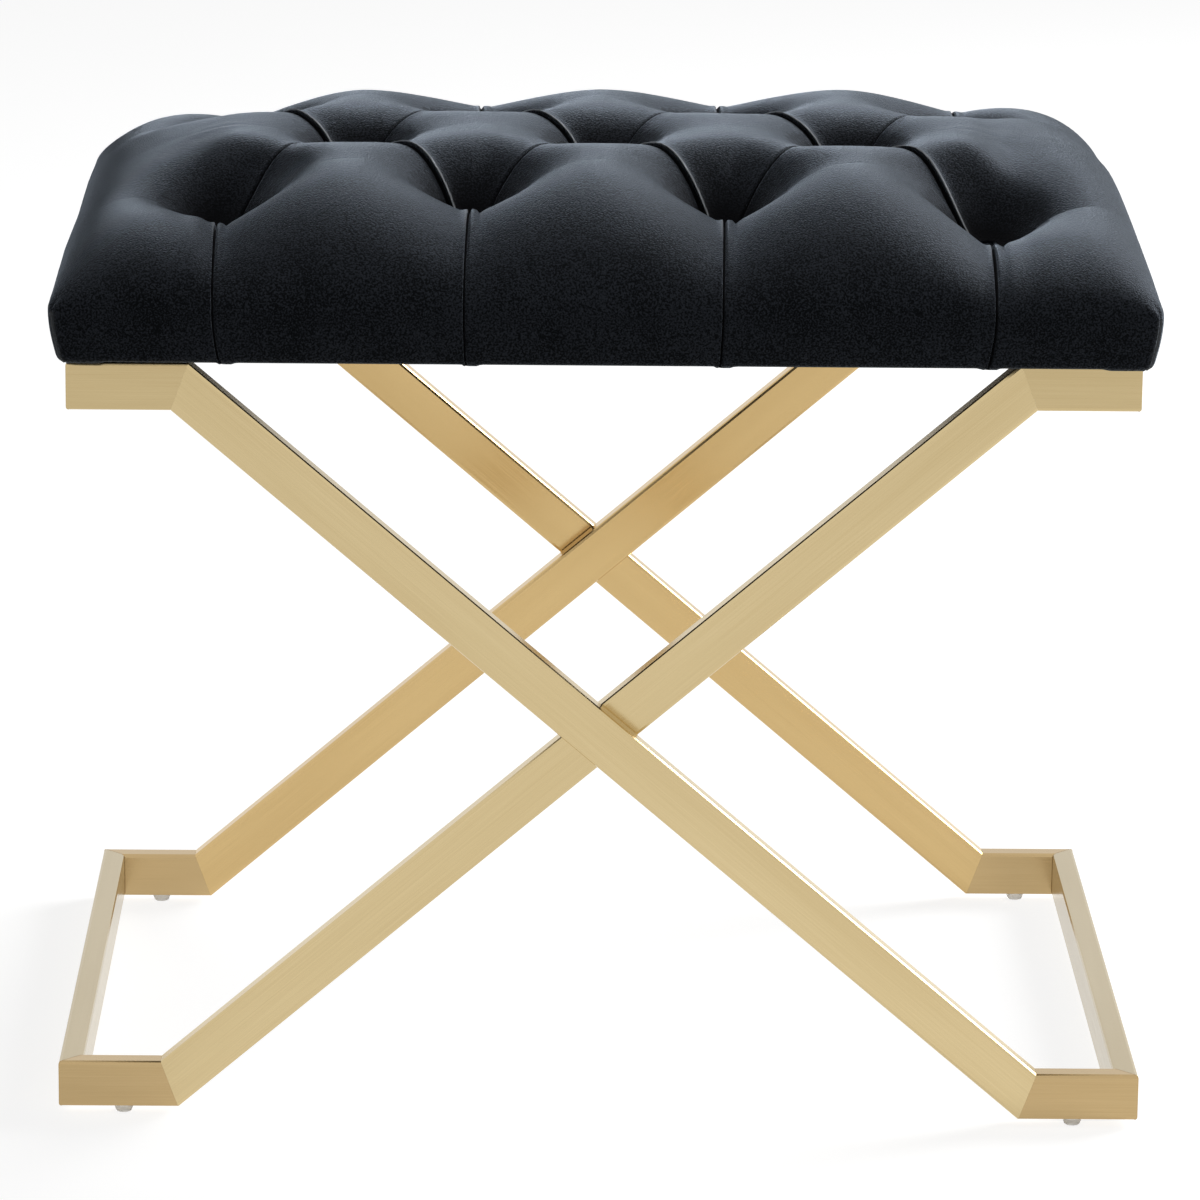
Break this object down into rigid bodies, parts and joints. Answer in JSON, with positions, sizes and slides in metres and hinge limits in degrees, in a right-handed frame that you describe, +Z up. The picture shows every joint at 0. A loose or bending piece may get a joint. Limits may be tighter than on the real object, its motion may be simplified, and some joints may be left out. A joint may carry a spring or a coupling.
{
  "type": "upholstered bench",
  "caption": "Low bench with a deep-tufted velvet seat, drawn in by diamond pleats, on crossed X loops of brushed gold rectangular tube.",
  "frame": {"origin": "on the floor under the middle of the bench, level with the undersides of the glides", "axes": "+X along the bench's length, to the right seen from the front; +Y from front to back; +Z up"},
  "size_m": [0.5792, 0.444, 0.5039],
  "materials": {
    "gold_tube": "brushed along each tube, pale gold plating",
    "nylon": "translucent off-white, moulded",
    "velvet": "short black pile with a cool sheen",
    "foam": "open-cell polyurethane foam",
    "plywood": "unfinished birch-faced plywood",
    "cambric": "black non-woven dust cloth",
    "screw_steel": "zinc plated"
  },
  "bodies": {
    "root": {"outer_front_top_arm": "gold_tube", "outer_front_leg": "gold_tube", "outer_front_foot_arm": "gold_tube", "outer_foot_rail": "gold_tube", "outer_back_foot_arm": "gold_tube", "outer_back_leg": "gold_tube", "outer_back_top_arm": "gold_tube", "outer_top_rail": "gold_tube", "inner_front_top_arm": "gold_tube", "inner_front_leg": "gold_tube", "inner_front_foot_arm": "gold_tube", "inner_foot_rail": "gold_tube", "inner_back_foot_arm": "gold_tube", "inner_back_leg": "gold_tube", "inner_back_top_arm": "gold_tube", "inner_top_rail": "gold_tube", "outer_front_glide": "nylon", "outer_back_glide": "nylon", "inner_front_glide": "nylon", "inner_back_glide": "nylon", "outer_front_seat_screw": "screw_steel", "outer_back_seat_screw": "screw_steel", "inner_front_seat_screw": "screw_steel", "inner_back_seat_screw": "screw_steel", "seat_board": "plywood", "foam_pad": "foam", "velvet_cover": "velvet", "dust_cover": "cambric", "tuft_tie_front_1": "velvet", "tuft_tie_front_2": "velvet", "tuft_tie_front_3": "velvet", "tuft_tie_front_4": "velvet", "tuft_tie_middle_1": "velvet", "tuft_tie_middle_2": "velvet", "tuft_tie_middle_3": "velvet", "tuft_tie_back_1": "velvet", "tuft_tie_back_2": "velvet", "tuft_tie_back_3": "velvet", "tuft_tie_back_4": "velvet"}
  },
  "joints": []
}
